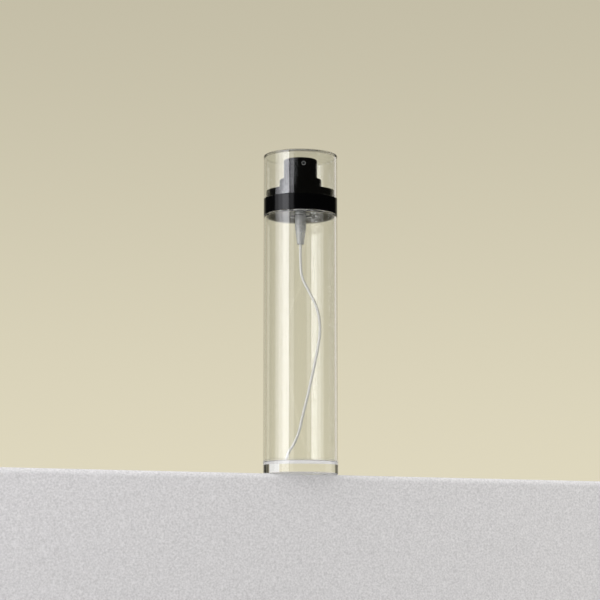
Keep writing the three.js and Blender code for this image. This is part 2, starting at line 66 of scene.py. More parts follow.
def section_points(corners, closed):
    """The corners, each rounded one with a holding point on either side of it, so that
    the soft shading of an edge does not run along the wall beside it."""
    points = []
    for i, (r, z, edge) in enumerate(corners):
        here = Vector((r, 0, z))
        beside = []
        for j in (i - 1, i + 1):
            if not closed and not 0 <= j < len(corners):
                continue
            other_r, other_z, other_edge = corners[j % len(corners)]
            way = Vector((other_r, 0, other_z)) - here
            if edge and way.length > held(edge) + held(other_edge):
                beside.append((j, here + way.normalized() * held(edge)))
        points += [p * MM for j, p in beside if j < i]
        points.append(here * MM)
        points += [p * MM for j, p in beside if j > i]
    return points


def pick_points(piece, places):
    """Selects only the corners of an open mesh that lie at the given places."""
    drawn = bmesh.from_edit_mesh(piece.data)
    for vertex in drawn.verts:
        vertex.select = any((vertex.co - p).length < PICK_REACH for p in places)
    drawn.select_flush(True)
    bmesh.update_edit_mesh(piece.data)


def named(thing, name):
    """Gives an object and its data the same name."""
    thing.name = name
    thing.data.name = name
    return thing


def turned(name, corners, segments, closed=False):
    """Draws half a section from corners of radius, height and edge radius in millimetres,
    rounds its corners and spins it once round the bottle's axis."""
    bpy.ops.object.select_all(action="DESELECT")
    bpy.ops.mesh.primitive_plane_add(size=MM)
    piece = named(bpy.context.object, name)
    bpy.ops.object.mode_set(mode="EDIT")
    bpy.ops.mesh.select_mode(type="VERT")
    bpy.ops.mesh.merge(type="CENTER")
    points = section_points(corners, closed)
    bpy.ops.transform.translate(value=points[0])
    for here, there in zip(points, points[1:]):
        bpy.ops.mesh.extrude_region_move(TRANSFORM_OT_translate={"value": there - here})
    if closed:
        pick_points(piece, [points[0], points[-1]])
        bpy.ops.mesh.edge_face_add()
    for r, z, edge in corners:
        if edge:
            pick_points(piece, [Vector((r, 0, z)) * MM])
            bpy.ops.mesh.bevel(
                offset_type="OFFSET", offset=edge * MM, segments=CORNER_STEPS, affect="VERTICES"
            )
    bpy.ops.mesh.select_all(action="SELECT")
    bpy.ops.mesh.spin(steps=segments, angle=FULL_TURN, center=(0, 0, 0), axis=(0, 0, 1))
    bpy.ops.mesh.select_all(action="SELECT")
    bpy.ops.mesh.remove_doubles(threshold=MERGE_GAP)
    bpy.ops.mesh.normals_make_consistent(inside=False)
    bpy.ops.object.mode_set(mode="OBJECT")
    bpy.ops.object.shade_smooth_by_angle(angle=SMOOTH_ANGLE)
    return piece


def coiled(name, section, radius, start, pitch, turns, sides, steps_per_turn):
    """A round section swept up a right-handed helix, closed at both ends."""
    bpy.ops.object.select_all(action="DESELECT")
    bpy.ops.mesh.primitive_circle_add(
        vertices=sides,
        radius=section * MM,
        location=(radius * MM, 0, start * MM),
        rotation=(FULL_TURN / 4, 0, 0),
    )
    piece = named(bpy.context.object, name)
    bpy.ops.object.transform_apply(location=True, rotation=True, scale=True)
    helix = piece.modifiers.new("helix", "SCREW")
    helix.angle = FULL_TURN * turns
    helix.screw_offset = pitch * turns * MM
    helix.steps = round(steps_per_turn * turns)
    helix.render_steps = helix.steps
    bpy.ops.object.modifier_apply(modifier=helix.name)
    bpy.ops.object.mode_set(mode="EDIT")
    bpy.ops.mesh.select_all(action="SELECT")
    bpy.ops.mesh.fill_holes(sides=0)
    bpy.ops.mesh.select_all(action="SELECT")
    bpy.ops.mesh.normals_make_consistent(inside=False)
    bpy.ops.object.mode_set(mode="OBJECT")
    bpy.ops.object.shade_smooth_by_angle(angle=SMOOTH_ANGLE)
    return piece


def worked(piece, tool, operation):
    """Joins a tool's solid to a piece or cuts it out of the piece, and clears the tool away."""
    bpy.ops.object.select_all(action="DESELECT")
    bpy.context.view_layer.objects.active = piece
    piece.select_set(True)
    joint = piece.modifiers.new("work", "BOOLEAN")
    joint.operation = operation
    joint.solver = "EXACT"
    joint.object = tool
    bpy.ops.object.modifier_apply(modifier=joint.name)
    bpy.data.objects.remove(tool)
    bpy.ops.object.shade_smooth_by_angle(angle=SMOOTH_ANGLE)


def ranged(tree, value, low, high, start, end):
    """Carries a value in a node tree over from one range to another."""
    node = tree.nodes.new("ShaderNodeMapRange")
    limits = (("From Min", low), ("From Max", high), ("To Min", start), ("To Max", end))
    for label, number in limits:
        node.inputs[label].default_value = number
    tree.links.new(value, node.inputs["Value"])
    return node


SKIN_VALUES = ("Grain scale", "Drift scale", "Polish", "Dull")
SKIN_RESULTS = ("Roughness", "Height")
GRAIN_DETAIL = 3
DRIFT_DETAIL = 4
DRIFT_LIMITS = (0.3, 0.7)


def moulded_skin():
    """The skin that a mould leaves: a fine grain as height, and a gloss that drifts a
    little from place to place between a polished and a dull value."""
    group = bpy.data.node_groups.new("Moulded skin", "ShaderNodeTree")
    for label in SKIN_VALUES:
        group.interface.new_socket(name=label, in_out="INPUT", socket_type="NodeSocketFloat")
    for label in SKIN_RESULTS:
        group.interface.new_socket(name=label, in_out="OUTPUT", socket_type="NodeSocketFloat")
    given = group.nodes.new("NodeGroupInput")
    result = group.nodes.new("NodeGroupOutput")
    place = group.nodes.new("ShaderNodeTexCoord")
    grain = group.nodes.new("ShaderNodeTexNoise")
    grain.inputs["Detail"].default_value = GRAIN_DETAIL
    drift = group.nodes.new("ShaderNodeTexNoise")
    drift.inputs["Detail"].default_value = DRIFT_DETAIL
    gloss = ranged(group, drift.outputs["Fac"], *DRIFT_LIMITS, 0, 1)
    join = group.links.new
    join(place.outputs["Object"], grain.inputs["Vector"])
    join(place.outputs["Object"], drift.inputs["Vector"])
    join(given.outputs["Grain scale"], grain.inputs["Scale"])
    join(given.outputs["Drift scale"], drift.inputs["Scale"])
    join(given.outputs["Polish"], gloss.inputs["To Min"])
    join(given.outputs["Dull"], gloss.inputs["To Max"])
    join(gloss.outputs["Result"], result.inputs["Roughness"])
    join(grain.outputs["Fac"], result.inputs["Height"])
    return group


SKIN = moulded_skin()


def moulded(name, colour, grain, drift, polish, dull, depth):
    """A moulded finish: one colour, the mould's skin in its gloss and its fine relief."""
    material = bpy.data.materials.new(name)
    material.use_nodes = True
    tree = material.node_tree
    shader = tree.nodes["Principled BSDF"]
    shader.inputs["Base Color"].default_value = (*colour, 1)
    skin = tree.nodes.new("ShaderNodeGroup")
    skin.node_tree = SKIN
    for label, value in zip(SKIN_VALUES, (grain, drift, polish, dull)):
        skin.inputs[label].default_value = value
    relief = tree.nodes.new("ShaderNodeBump")
    relief.inputs["Strength"].default_value = 1
    relief.inputs["Distance"].default_value = depth * MM
    tree.links.new(skin.outputs["Roughness"], shader.inputs["Roughness"])
    tree.links.new(skin.outputs["Height"], relief.inputs["Height"])
    tree.links.new(relief.outputs["Normal"], shader.inputs["Normal"])
    return material


FLOW_GRAIN = 45
FLOW_DRIFT = 30
LIGHT_PASSED = 0.95


def clear_moulded(name, tint, ior, dull, depth):
    """A clear polished moulding. Lamps and soft light pass straight through it, so that
    what it holds is lit, and sight is bent as by the real wall."""
    material = moulded(name, tint, FLOW_GRAIN, FLOW_DRIFT, 0, dull, depth)
    tree = material.node_tree
    shader = tree.nodes["Principled BSDF"]
    shader.inputs["IOR"].default_value = ior
    shader.inputs["Transmission Weight"].default_value = 1
    path = tree.nodes.new("ShaderNodeLightPath")
    either = tree.nodes.new("ShaderNodeMath")
    either.operation = "MAXIMUM"
    passing = tree.nodes.new("ShaderNodeBsdfTransparent")
    passing.inputs["Color"].default_value = (*(LIGHT_PASSED * c for c in tint), 1)
    choice = tree.nodes.new("ShaderNodeMixShader")
    tree.links.new(path.outputs["Is Shadow Ray"], either.inputs[0])
    tree.links.new(path.outputs["Is Diffuse Ray"], either.inputs[1])
    tree.links.new(either.outputs["Value"], choice.inputs["Fac"])
    tree.links.new(shader.outputs["BSDF"], choice.inputs[1])
    tree.links.new(passing.outputs["BSDF"], choice.inputs[2])
    tree.links.new(choice.outputs["Shader"], tree.nodes["Material Output"].inputs["Surface"])
    return material


def dressed(piece, material, body, node):
    """Gives a finished piece its material, its body and the solid that it stands for."""
    piece.data.materials.clear()
    piece.data.materials.append(material)
    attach(piece, body)
    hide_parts(node)


BODY_ROUND = 192
BODY_RADIUS = 20.0
BODY_BORE = 18.75
FOOT_RADIUS = 20.1
FOOT_STEP = 7.5
FOOT_TOP = 7.6
STAND_INNER = 14.9
PUNT_RADIUS = 13.3
PUNT_DEPTH = 0.8
FLOOR_TOP = 6.5
SHOULDER_UNDERSIDE = 139.8
SHOULDER_TOP = 140.6
NECK_RADIUS = 7.8
NECK_BORE = 5.6
NECK_LIP = 148.8
bottle = turned(
    "bottle_moulding",
    [
        (0, PUNT_DEPTH, 0),
        (PUNT_RADIUS, PUNT_DEPTH, 0.6),
        (STAND_INNER, 0, 0.5),
        (FOOT_RADIUS, 0, 0.7),
        (FOOT_RADIUS, FOOT_STEP, 0.03),
        (BODY_RADIUS, FOOT_TOP, 0.03),
        (BODY_RADIUS, SHOULDER_TOP, 0.3),
        (NECK_RADIUS, SHOULDER_TOP, 0.3),
        (NECK_RADIUS, NECK_LIP, 0.3),
        (NECK_BORE, NECK_LIP, 0.3),
        (NECK_BORE, SHOULDER_UNDERSIDE, 0.3),
        (BODY_BORE, SHOULDER_UNDERSIDE, 0.4),
        (BODY_BORE, FLOOR_TOP, 0.5),
        (0, FLOOR_TOP, 0),
    ],
    BODY_ROUND,
)
THREAD_PITCH = 3.175
THREAD_START = 142.4
THREAD_SIDES = 16
THREAD_STEPS = 64
neck_thread = coiled(
    "neck_thread",
    section=0.889,
    radius=8.111,
    start=THREAD_START,
    pitch=THREAD_PITCH,
    turns=1.4,
    sides=THREAD_SIDES,
    steps_per_turn=THREAD_STEPS,
)
worked(bottle, neck_thread, "UNION")
clear_bottle = clear_moulded(
    "Clear bottle", (0.985, 0.99, 0.975), ior=1.52, dull=0.012, depth=0.0006
)
# Shadow and soft-light rays pass the thick base more dimly than the wall. This dimmer colour is a
# stand-in for the shadow that the base casts by bending light away.
HEAVY_BELOW = 5.5 * MM
LIGHT_ABOVE = 7.5 * MM
BASE_PASSES = 0.76
WALL_PASSES = 0.94
bottle_tree = clear_bottle.node_tree
bottle_place = bottle_tree.nodes.new("ShaderNodeTexCoord")
bottle_parts = bottle_tree.nodes.new("ShaderNodeSeparateXYZ")
bottle_tree.links.new(bottle_place.outputs["Object"], bottle_parts.inputs["Vector"])
shade_passing_by_height = ranged(
    bottle_tree, bottle_parts.outputs["Z"], HEAVY_BELOW, LIGHT_ABOVE, BASE_PASSES, WALL_PASSES
)
bottle_passing = bottle_tree.nodes["Transparent BSDF"]
bottle_tree.links.new(shade_passing_by_height.outputs["Result"], bottle_passing.inputs["Color"])
dressed(bottle, clear_bottle, "bottle", "bottle")

# Pump housing. A natural polypropylene moulding that hangs in the neck by its flange:
# a barrel for the piston, a straight tail for the spring, then the ball's cage and a
# tapered socket that holds the dip tube.
HOUSING_ROUND = 96
TIP_HEIGHT = 124.8
TIP_RADIUS = 1.85
SOCKET_RADIUS = 0.85
SOCKET_TOP = 128.2
INLET_RADIUS = 0.6
INLET_TOP = 131.35
CAGE_FLOOR = 132.35
CAGE_RADIUS = 1.6
CAGE_TOP = 134.4
CAGE_MOUTH = 1.05
SPRING_LEDGE = 134.9
SPRING_BORE = 2.4
TAIL_RADIUS = 3.05
TAIL_TOP = 140.5
BARREL_FOOT = 141.5
BARREL_RADIUS = 4.7
BARREL_BORE = 3.7
FLANGE_RADIUS = 7.7
FLANGE_UNDERSIDE = 149.8
FLANGE_TOP = 150.8
housing = turned(
    "pump_housing_moulding",
    [
        (SOCKET_RADIUS, TIP_HEIGHT, 0.1),
        (TIP_RADIUS, TIP_HEIGHT, 0.2),
        (TAIL_RADIUS, CAGE_TOP, 0.3),
        (TAIL_RADIUS, TAIL_TOP, 0.3),
        (BARREL_RADIUS, BARREL_FOOT, 0.3),
        (BARREL_RADIUS, FLANGE_UNDERSIDE, 0.3),
        (FLANGE_RADIUS, FLANGE_UNDERSIDE, 0.15),
        (FLANGE_RADIUS, FLANGE_TOP, 0.15),
        (BARREL_BORE, FLANGE_TOP, 0.15),
        (BARREL_BORE, BARREL_FOOT, 0.1),
        (SPRING_BORE, BARREL_FOOT, 0.1),
        (SPRING_BORE, SPRING_LEDGE, 0.08),
        (CAGE_MOUTH, SPRING_LEDGE, 0.1),
        (CAGE_MOUTH, CAGE_TOP, 0.1),
        (CAGE_RADIUS, CAGE_TOP, 0.05),
        (CAGE_RADIUS, CAGE_FLOOR, 0.1),
        (INLET_RADIUS, INLET_TOP, 0.1),
        (INLET_RADIUS, SOCKET_TOP, 0.05),
        (SOCKET_RADIUS, SOCKET_TOP, 0.05),
    ],
    HOUSING_ROUND,
    closed=True,
)


def cloudy(material, clearness, ior):
    """Lets part of the light into a natural plastic."""
    shader = material.node_tree.nodes["Principled BSDF"]
    shader.inputs["Transmission Weight"].default_value = clearness
    shader.inputs["IOR"].default_value = ior


milky = moulded(
    "Milky polypropylene",
    (0.72, 0.72, 0.7),
    grain=700,
    drift=90,
    polish=0.18,
    dull=0.3,
    depth=0.006,
)
cloudy(milky, clearness=0.62, ior=1.49)
dressed(housing, milky, "pump_engine", "pump_housing")

# Housing gland. A white acetal ring that snaps into the barrel's mouth under the deck.
# It guides the stem and stops it on its way up.
SEAL_ROUND = 80
GLAND_BORE = 1.85
GLAND_PLUG_RADIUS = 3.6
GLAND_PLUG_FOOT = 149.3
GLAND_FLANGE_RADIUS = 5.4
GLAND_FLANGE_FOOT = 150.9
GLAND_TOP = 151.9
gland = turned(
    "housing_gland_ring",
    [
        (GLAND_BORE, GLAND_PLUG_FOOT, 0.12),
        (GLAND_PLUG_RADIUS, GLAND_PLUG_FOOT, 0.25),
        (GLAND_PLUG_RADIUS, GLAND_FLANGE_FOOT, 0.05),
        (GLAND_FLANGE_RADIUS, GLAND_FLANGE_FOOT, 0.12),
        (GLAND_FLANGE_RADIUS, GLAND_TOP, 0.25),
        (GLAND_BORE, GLAND_TOP, 0.2),
    ],
    SEAL_ROUND,
    closed=True,
)
white = moulded(
    "White acetal",
    (0.84, 0.84, 0.815),
    grain=800,
    drift=70,
    polish=0.25,
    dull=0.38,
    depth=0.005,
)
dressed(gland, white, "pump_engine", "housing_gland")

# Neck gasket. A washer punched from soft black foam rubber, squeezed between
# the neck's lip and the pump's flange.
GASKET_BORE = 5.5
GASKET_FOOT = 148.9
GASKET_TOP = 149.7
gasket = turned(
    "neck_gasket_washer",
    [
        (GASKET_BORE, GASKET_FOOT, 0.1),
        (FLANGE_RADIUS, GASKET_FOOT, 0.1),
        (FLANGE_RADIUS, GASKET_TOP, 0.1),
        (GASKET_BORE, GASKET_TOP, 0.1),
    ],
    HOUSING_ROUND,
    closed=True,
)
foam = moulded(
    "Gasket foam",
    (0.03, 0.03, 0.032),
    grain=2600,
    drift=300,
    polish=0.65,
    dull=0.85,
    depth=0.05,
)
dressed(gasket, foam, "pump_engine", "neck_gasket")

# Inlet ball. A bright stainless ball that lies loose in its cage on the cone over the
# inlet, and lifts to let the liquid past.
BALL_SEGMENTS = 48
BALL_RADIUS = 1.2
BALL_HEIGHT = 132.52
BALL_EDGE = 0.9995 * BALL_RADIUS
ball = turned(
    "inlet_ball_bearing",
    [
        (0, BALL_HEIGHT - BALL_RADIUS, 0),
        (BALL_RADIUS, BALL_HEIGHT - BALL_RADIUS, BALL_EDGE),
        (BALL_RADIUS, BALL_HEIGHT + BALL_RADIUS, BALL_EDGE),
        (0, BALL_HEIGHT + BALL_RADIUS, 0),
    ],
    BALL_SEGMENTS,
)
steel = moulded(
    "Stainless steel",
    (0.62, 0.63, 0.65),
    grain=1500,
    drift=400,
    polish=0.16,
    dull=0.28,
    depth=0.002,
)
steel.node_tree.nodes["Principled BSDF"].inputs["Metallic"].default_value = 1
dressed(ball, steel, "inlet_ball", "inlet_ball")

# Return spring. Seven turns of stainless wire, 0.5 mm thick, between the ledge in the
# housing's tail and the head of the piston rod. It shortens as the pump is pressed.
SPRING_TURNS = 7
SPRING_FOOT = 135.25
SPRING_SPAN = 8.8
COIL_RADIUS = 1.75
WIRE_RADIUS = 0.25
WIRE_SIDES = 12
COIL_STEPS = 48
spring = coiled(
    "return_spring_coil",
    section=WIRE_RADIUS,
    radius=COIL_RADIUS,
    start=SPRING_FOOT,
    pitch=SPRING_SPAN / SPRING_TURNS,
    turns=SPRING_TURNS,
    sides=WIRE_SIDES,
    steps_per_turn=COIL_STEPS,
)
dressed(spring, steel, "pump_engine", "return_spring")
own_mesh(spring)

# Dip tube. A thin natural polyethylene tube pushed into the housing's tail. It comes off
# a roll and keeps an S-shaped set, so its end lies near the bottle's wall. The set is
# given as the share of the drop and the way sideways.
TUBE_RADIUS = 0.75
TUBE_WALL = 0.3
TUBE_TOP = 128.1
TUBE_DROP = 120.3
TUBE_PLANE = math.radians(-11)
TUBE_STEPS = 10
TUBE_ROUNDING = 4
TUBE_SET = (
    (0, 0),
    (0.03, 0),
    (0.1, 0),
    (0.176, 0.9),
    (0.244, 4.7),
    (0.315, 8.7),
    (0.385, 10.3),
    (0.427, 10.4),
    (0.477, 9.7),
    (0.541, 8.3),
    (0.636, 5.9),
    (0.732, 3.2),
    (0.814, 0.8),
    (0.873, -0.9),
    (0.931, -3.8),
    (0.962, -6.2),
    (1, -7.8),
)
bpy.ops.object.select_all(action="DESELECT")
bpy.ops.curve.primitive_bezier_curve_add()
tube = named(bpy.context.object, "dip_tube_run")
run = tube.data.splines[0]
run.bezier_points.add(len(TUBE_SET) - len(run.bezier_points))
for knot, (share, aside) in zip(run.bezier_points, TUBE_SET):
    x = aside * math.cos(TUBE_PLANE)
    y = aside * math.sin(TUBE_PLANE)
    z = TUBE_TOP - share * TUBE_DROP
    knot.co = Vector((x, y, z)) * MM
    knot.handle_left_type = "AUTO"
    knot.handle_right_type = "AUTO"
run.resolution_u = TUBE_STEPS
tube.data.bevel_depth = TUBE_RADIUS * MM
tube.data.bevel_resolution = TUBE_ROUNDING
bpy.ops.object.convert(target="MESH")
tube = bpy.context.object
wall = tube.modifiers.new("wall", "SOLIDIFY")
wall.thickness = TUBE_WALL * MM
wall.offset = -1
bpy.ops.object.modifier_apply(modifier=wall.name)
bpy.ops.object.shade_smooth_by_angle(angle=SMOOTH_ANGLE)
natural = moulded(
    "Natural polyethylene",
    (0.89, 0.875, 0.83),
    grain=600,
    drift=120,
    polish=0.12,
    dull=0.2,
    depth=0.002,
)
cloudy(natural, clearness=0.44, ior=1.5)
dressed(tube, natural, "pump_engine", "dip_tube")

# Piston rod. A white acetal pin that runs up inside the stem, with a head under the
# piston and a short spigot that centres the spring.
STEM_ROUND = 64
SPIGOT_RADIUS = 1.0
SPIGOT_FOOT = 142.9
ROD_HEAD_RADIUS = 2.1
ROD_HEAD_FOOT = 144.4
ROD_HEAD_TOP = 145.6
PIN_RADIUS = 0.65
PIN_TOP = 151.6
rod = turned(
    "piston_rod_pin",
    [
        (0, SPIGOT_FOOT, 0),
        (SPIGOT_RADIUS, SPIGOT_FOOT, 0.25),
        (SPIGOT_RADIUS, ROD_HEAD_FOOT, 0.1),
        (ROD_HEAD_RADIUS, ROD_HEAD_FOOT, 0.15),
        (ROD_HEAD_RADIUS, ROD_HEAD_TOP, 0.15),
        (PIN_RADIUS, ROD_HEAD_TOP, 0.1),
        (PIN_RADIUS, PIN_TOP, 0.2),
        (0, PIN_TOP, 0),
    ],
    STEM_ROUND,
)
dressed(rod, white, "plunger", "piston_rod")

# Piston. A soft natural polyethylene ring with two lips that wipe the barrel, held
# between the stem's shoulder and the rod's head.
PISTON_BORE = 1.8
PISTON_RADIUS = 3.6
WAIST_RADIUS = 3.1
PISTON_FOOT = 145.7
LOWER_LIP_TOP = 146.5
UPPER_LIP_FOOT = 147.3
PISTON_TOP = 148.1
piston = turned(
    "piston_seal",
    [
        (PISTON_BORE, PISTON_FOOT, 0.1),
        (PISTON_RADIUS, PISTON_FOOT, 0.15),
        (PISTON_RADIUS, LOWER_LIP_TOP, 0.25),
        (WAIST_RADIUS, LOWER_LIP_TOP, 0.2),
        (WAIST_RADIUS, UPPER_LIP_FOOT, 0.2),
        (PISTON_RADIUS, UPPER_LIP_FOOT, 0.25),
        (PISTON_RADIUS, PISTON_TOP, 0.15),
        (PISTON_BORE, PISTON_TOP, 0.1),
    ],
    SEAL_ROUND,
    closed=True,
)
dressed(piston, milky, "plunger", "piston")

# Pump stem. A hollow white polypropylene tube pushed into the button. Its shoulder
# drives the piston down and meets the gland on the way up.
STEM_BORE = 0.85
STEM_RADIUS = 1.7
STEM_FOOT = 146.7
STEM_TOP = 163.0
STEM_SHOULDER_RADIUS = 2.5
STEM_SHOULDER_FOOT = 148.3
STEM_SHOULDER_TOP = 149.1
stem = turned(
    "pump_stem_tube",
    [
        (STEM_BORE, STEM_FOOT, 0.1),
        (STEM_RADIUS, STEM_FOOT, 0.15),
        (STEM_RADIUS, STEM_SHOULDER_FOOT, 0.1),
        (STEM_SHOULDER_RADIUS, STEM_SHOULDER_FOOT, 0.15),
        (STEM_SHOULDER_RADIUS, STEM_SHOULDER_TOP, 0.2),
        (STEM_RADIUS, STEM_SHOULDER_TOP, 0.15),
        (STEM_RADIUS, STEM_TOP, 0.25),
        (STEM_BORE, STEM_TOP, 0.15),
    ],
    STEM_ROUND,
    closed=True,
)
dressed(stem, white, "plunger", "pump_stem")

# Screw closure. A black polypropylene moulding: a threaded skirt on the neck, the deck
# that clamps the pump's flange, the smooth sleeve that guides the button, and eight ribs
# that the collar shell is pressed over.
BUTTON_ROUND = 128
SKIRT_BORE = 9.3
SKIRT_RADIUS = 11.0
SKIRT_FOOT = 141.0
DECK_BORE = 5.7
DECK_UNDERSIDE = 150.9
DECK_TOP = 152.1
SLEEVE_BORE = 9.4
SLEEVE_RADIUS = 11.4
SLEEVE_TOP = 160.2
closure = turned(
    "screw_closure_moulding",
    [
        (DECK_BORE, DECK_UNDERSIDE, 0.15),
        (SKIRT_BORE, DECK_UNDERSIDE, 0.3),
        (SKIRT_BORE, SKIRT_FOOT, 0.25),
        (SKIRT_RADIUS, SKIRT_FOOT, 0.25),
        (SKIRT_RADIUS, DECK_TOP, 0.1),
        (SLEEVE_RADIUS, DECK_TOP, 0.1),
        (SLEEVE_RADIUS, SLEEVE_TOP, 0.5),
        (SLEEVE_BORE, SLEEVE_TOP, 0.5),
        (SLEEVE_BORE, DECK_TOP, 0.2),
        (DECK_BORE, DECK_TOP, 0.15),
    ],
    BUTTON_ROUND,
    closed=True,
)
closure_thread = coiled(
    "closure_thread",
    section=0.794,
    radius=9.144,
    start=THREAD_START,
    pitch=THREAD_PITCH,
    turns=1.1,
    sides=THREAD_SIDES,
    steps_per_turn=THREAD_STEPS,
)
closure_thread.rotation_euler = (0, 0, FULL_TURN / 2)
worked(closure, closure_thread, "UNION")
RIB_COUNT = 8
RIB_INNER = 10.15
RIB_OUTER = 16.95
RIB_THICKNESS = 1.4
RIB_BOTTOM = 146.1
RIB_TOP = 152.1
RIB_EDGE = 0.2
RIB_EDGE_STEPS = 2
for number in range(RIB_COUNT):
    bpy.ops.object.select_all(action="DESELECT")
    bpy.ops.mesh.primitive_cube_add(size=1)
    rib = bpy.context.object
    rib.scale = ((RIB_OUTER - RIB_INNER) * MM, RIB_THICKNESS * MM, (RIB_TOP - RIB_BOTTOM) * MM)
    rib.location = ((RIB_OUTER + RIB_INNER) / 2 * MM, 0, (RIB_TOP + RIB_BOTTOM) / 2 * MM)
    bpy.ops.object.transform_apply(location=True, rotation=True, scale=True)
    bpy.ops.object.mode_set(mode="EDIT")
    bpy.ops.mesh.select_all(action="SELECT")
    bpy.ops.mesh.bevel(
        offset_type="OFFSET", offset=RIB_EDGE * MM, segments=RIB_EDGE_STEPS, affect="EDGES"
    )
    bpy.ops.object.mode_set(mode="OBJECT")
    rib.rotation_euler = (0, 0, FULL_TURN * (number + 0.5) / RIB_COUNT)
    worked(closure, rib, "UNION")
black = moulded(
    "Gloss black polypropylene",
    (0.001, 0.001, 0.0011),
    grain=1200,
    drift=50,
    polish=0.1,
    dull=0.16,
    depth=0.0012,
)
BLACK_SHINE = 0.25
black_shader = black.node_tree.nodes["Principled BSDF"]
black_shader.inputs["Specular IOR Level"].default_value = BLACK_SHINE
dressed(closure, black, "closure", "screw_closure")

# Collar shell. The outer black cover: a wide band flush with the bottle, a smaller ring
# that locates the overcap, and a flat plate round the sleeve.
BAND_BORE = 18.4
BAND_FOOT = 140.7
BAND_TOP = 149.4
BAND_LEDGE = 147.8
RING_BORE = 17.15
RING_RADIUS = 18.65
PLATE_BORE = 11.6
PLATE_UNDERSIDE = 152.3
PLATE_TOP = 153.75
collar = turned(
    "collar_shell_cover",
    [
        (BAND_BORE, BAND_FOOT, 0.1),
        (BODY_RADIUS, BAND_FOOT, 0.1),
        (BODY_RADIUS, BAND_TOP, 0.1),
        (RING_RADIUS, BAND_TOP, 0.1),
        (RING_RADIUS, PLATE_TOP, 0.5),
        (PLATE_BORE, PLATE_TOP, 0.2),
        (PLATE_BORE, PLATE_UNDERSIDE, 0.1),
        (RING_BORE, PLATE_UNDERSIDE, 0.3),
        (RING_BORE, BAND_LEDGE, 0.3),
        (BAND_BORE, BAND_LEDGE, 0.3),
    ],
    BODY_ROUND,
    closed=True,
)
dressed(collar, black, "closure", "collar_shell")

# Actuator. The finger button, a black gloss moulding with a shallow dish for the
# fingertip, pushed on the stem. A pocket in its front side takes the nozzle insert.
BUTTON_RADIUS = 9.1
BUTTON_BORE = 7.7
BUTTON_FOOT = 156.7
BUTTON_CEILING = 165.25
BUTTON_TOP = 171.3
BOSS_RADIUS = 3.1
BOSS_BORE = 1.8
BOSS_STOP = 163.1
CHANNEL_RADIUS = 0.85
CHANNEL_TOP = 168.85
DISH_RADIUS = 7.4
DISH_DEPTH = 0.6
DISH_STEPS = 6
dish_sphere = (DISH_RADIUS**2 + DISH_DEPTH**2) / (2 * DISH_DEPTH)
dish_centre = BUTTON_TOP - DISH_DEPTH + dish_sphere
dish = []
for step in range(1, DISH_STEPS):
    r = DISH_RADIUS * (1 - step / DISH_STEPS)
    dish.append((r, dish_centre - math.sqrt(dish_sphere**2 - r**2), 0))
actuator = turned(
    "actuator_button",
    [
        (0, CHANNEL_TOP, 0),
        (CHANNEL_RADIUS, CHANNEL_TOP, 0.1),
        (CHANNEL_RADIUS, BOSS_STOP, 0.1),
        (BOSS_BORE, BOSS_STOP, 0.1),
        (BOSS_BORE, BUTTON_FOOT, 0.2),
        (BOSS_RADIUS, BUTTON_FOOT, 0.2),
        (BOSS_RADIUS, BUTTON_CEILING, 0.3),
        (BUTTON_BORE, BUTTON_CEILING, 0.3),
        (BUTTON_BORE, BUTTON_FOOT, 0.2),
        (BUTTON_RADIUS, BUTTON_FOOT, 0.2),
        (BUTTON_RADIUS, BUTTON_TOP, 0.8),
        (DISH_RADIUS, BUTTON_TOP, 0.3),
        *dish,
        (0, BUTTON_TOP - DISH_DEPTH, 0),
    ],
    BUTTON_ROUND,
)
NOZZLE_HEIGHT = 168.0
HOLE_SIDES = 48


def side_hole(radius, near, far):
    """A round bar that points to the front at the nozzle's height, to cut a hole with."""
    bpy.ops.object.select_all(action="DESELECT")
    bpy.ops.mesh.primitive_circle_add(
        vertices=HOLE_SIDES,
        radius=radius * MM,
        fill_type="NGON",
        location=(0, -near * MM, NOZZLE_HEIGHT * MM),
        rotation=(FULL_TURN / 4, 0, 0),
    )
    bar = bpy.context.object
    bpy.ops.object.transform_apply(location=True, rotation=True, scale=True)
    bpy.ops.object.mode_set(mode="EDIT")
    bpy.ops.mesh.select_all(action="SELECT")
    bpy.ops.mesh.extrude_region_move(TRANSFORM_OT_translate={"value": (0, -(far - near) * MM, 0)})
    bpy.ops.mesh.select_all(action="SELECT")
    bpy.ops.mesh.normals_make_consistent(inside=False)
    bpy.ops.object.mode_set(mode="OBJECT")
    return bar


pocket = side_hole(radius=1.2, near=6.5, far=10.5)
worked(actuator, pocket, "DIFFERENCE")
feed = side_hole(radius=0.5, near=0, far=6.6)
worked(actuator, feed, "DIFFERENCE")
dressed(actuator, black, "button", "actuator")

# Nozzle insert. A small dark grey cup pressed into the button's pocket. Its flared mouth
# leads to the fine orifice that breaks up the spray. It is turned lying on its back and
# then set upright in the button.
NOZZLE_RADIUS = 1.1
NOZZLE_FACE = 8.9
NOZZLE_END = -2.3
MOUTH_RADIUS = 0.75
MOUTH_END = -0.9
ORIFICE_RADIUS = 0.25
ORIFICE_END = -1.3
nozzle = turned(
    "nozzle_insert_cup",
    [
        (MOUTH_RADIUS, 0, 0.08),
        (MOUTH_RADIUS, MOUTH_END, 0.05),
        (ORIFICE_RADIUS, MOUTH_END, 0.04),
        (ORIFICE_RADIUS, ORIFICE_END, 0.04),
        (MOUTH_RADIUS, ORIFICE_END, 0.04),
        (MOUTH_RADIUS, NOZZLE_END, 0.06),
        (NOZZLE_RADIUS, NOZZLE_END, 0.1),
        (NOZZLE_RADIUS, 0, 0.1),
    ],
    STEM_ROUND,
    closed=True,
)
nozzle.rotation_euler = (FULL_TURN / 4, 0, 0)
nozzle.location = (0, -NOZZLE_FACE * MM, NOZZLE_HEIGHT * MM)
bpy.ops.object.transform_apply(location=True, rotation=True, scale=True)
